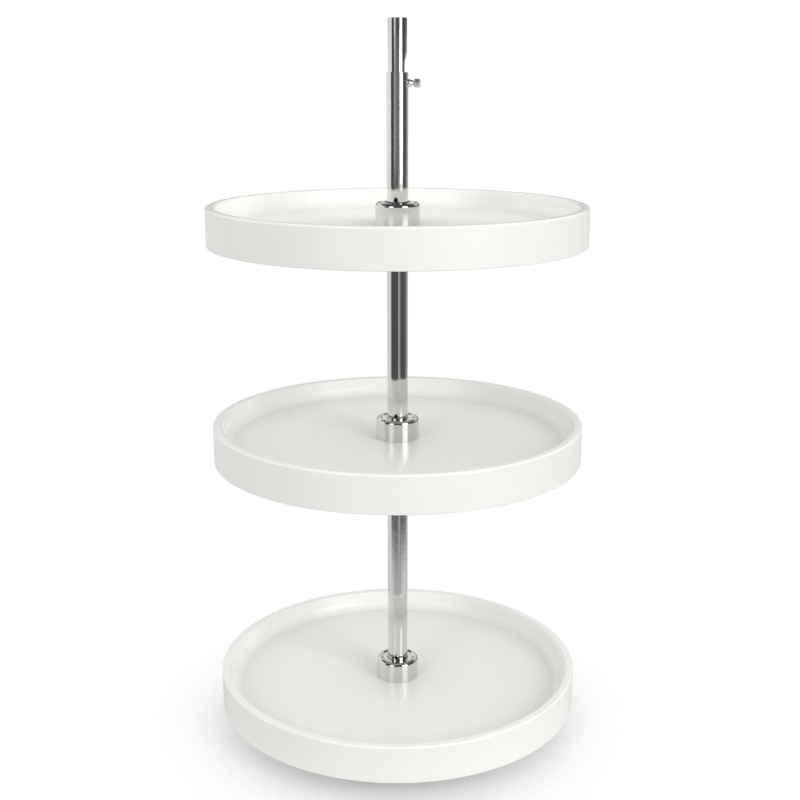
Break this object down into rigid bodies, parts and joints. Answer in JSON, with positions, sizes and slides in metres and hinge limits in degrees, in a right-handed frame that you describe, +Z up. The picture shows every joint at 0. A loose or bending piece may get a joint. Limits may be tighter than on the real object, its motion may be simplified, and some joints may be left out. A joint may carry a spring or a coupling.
{
  "type": "lazy susan turntable",
  "caption": "Full-circle pole lazy susan for a wall cabinet: white rimmed polymer trays turn on a chrome telescoping post that a side thumb screw locks.",
  "frame": {"origin": "centre of the floor plate's underside, on the post's axis", "axes": "+Z up along the post, front -Y, the thumb screw points along +X"},
  "size_m": [0.4572, 0.4572, 0.876],
  "materials": {
    "zinc_plate": "zinc plated, satin",
    "nylon": "natural, matt",
    "chrome_tube": "bright chrome plate over a slightly uneven tube",
    "chrome_fitting": "bright chrome plate",
    "chrome_cap": "bright chrome plate",
    "white_polymer": "semi-gloss, lightly textured floor",
    "spring_steel": "plain, satin"
  },
  "bodies": {
    "floor_plate": {"floor_plate": "zinc_plate", "bearing_cup": "nylon"},
    "lower_post": {"lower_post": "chrome_tube", "foot_plug": "nylon", "lock_boss": "chrome_fitting", "lower_carrier_ring": "nylon", "lower_carrier_pin": "spring_steel", "lower_retaining_pin": "spring_steel", "middle_carrier_ring": "nylon", "middle_carrier_pin": "spring_steel", "middle_retaining_pin": "spring_steel", "upper_carrier_ring": "nylon", "upper_carrier_pin": "spring_steel", "upper_retaining_pin": "spring_steel"},
    "upper_post": {"upper_post": "chrome_tube", "top_bushing": "nylon"},
    "lock_screw": {"lock_screw": "chrome_fitting"},
    "lower_tray": {"lower_tray": "white_polymer", "lower_hub_cap": "chrome_cap", "lower_hub_bushing": "nylon"},
    "middle_tray": {"middle_tray": "white_polymer", "middle_hub_cap": "chrome_cap", "middle_hub_bushing": "nylon"},
    "upper_tray": {"upper_tray": "white_polymer", "upper_hub_cap": "chrome_cap", "upper_hub_bushing": "nylon"}
  },
  "joints": [
    {"name": "post_turn", "type": "hinge", "parent": "floor_plate", "child": "lower_post", "pos_m": [0, 0, 0.01], "axis": [0, 0, 1], "continuous": true},
    {"name": "lower_tray_turn", "type": "hinge", "parent": "lower_post", "child": "lower_tray", "pos_m": [0, 0, 0.046], "axis": [0, 0, 1], "continuous": true},
    {"name": "middle_tray_turn", "type": "hinge", "parent": "lower_post", "child": "middle_tray", "pos_m": [0, 0, 0.372], "axis": [0, 0, 1], "continuous": true},
    {"name": "upper_tray_turn", "type": "hinge", "parent": "lower_post", "child": "upper_tray", "pos_m": [0, 0, 0.638], "axis": [0, 0, 1], "continuous": true},
    {"name": "post_height", "type": "slide", "parent": "lower_post", "child": "upper_post", "axis": [0, 0, 1], "range_m": [-0.018, 0.085]},
    {"name": "lock_screw_turn", "type": "hinge", "parent": "lower_post", "child": "lock_screw", "pos_m": [0.0187, 0, 0.8027], "axis": [1, 0, 0], "range_deg": [0, 720]}
  ]
}
